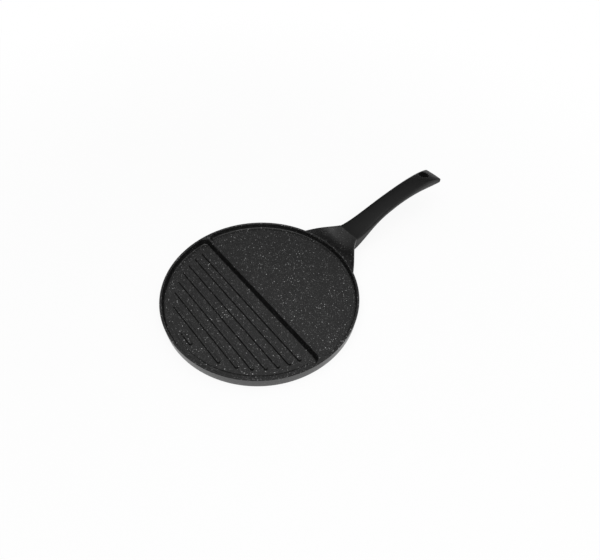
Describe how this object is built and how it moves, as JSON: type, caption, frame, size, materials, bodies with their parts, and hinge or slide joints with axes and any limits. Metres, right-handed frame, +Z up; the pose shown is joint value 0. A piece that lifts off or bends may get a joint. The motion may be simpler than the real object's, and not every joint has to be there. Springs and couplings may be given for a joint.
{
  "type": "divided griddle pan",
  "caption": "Round shallow cast pan divided by a low ridge into a ribbed grill half and a flat half, with a flared bracket and an arched screwed-on handle with a hanging eye.",
  "frame": {"origin": "middle of the flat base, on the surface that the pan stands on", "axes": "+X along the handle, +Y to the left of it, +Z up"},
  "size_m": [0.502, 0.28, 0.065],
  "materials": {
    "coated_casting": "matt black non-stick coating with fine pale speckles",
    "handle_moulding": "soft matt black, finely textured",
    "fastener_steel": "zinc-bright steel"
  },
  "bodies": {
    "root": {"pan_body": "coated_casting", "handle": "handle_moulding", "handle_screw": "fastener_steel", "spring_washer": "fastener_steel"}
  },
  "joints": []
}
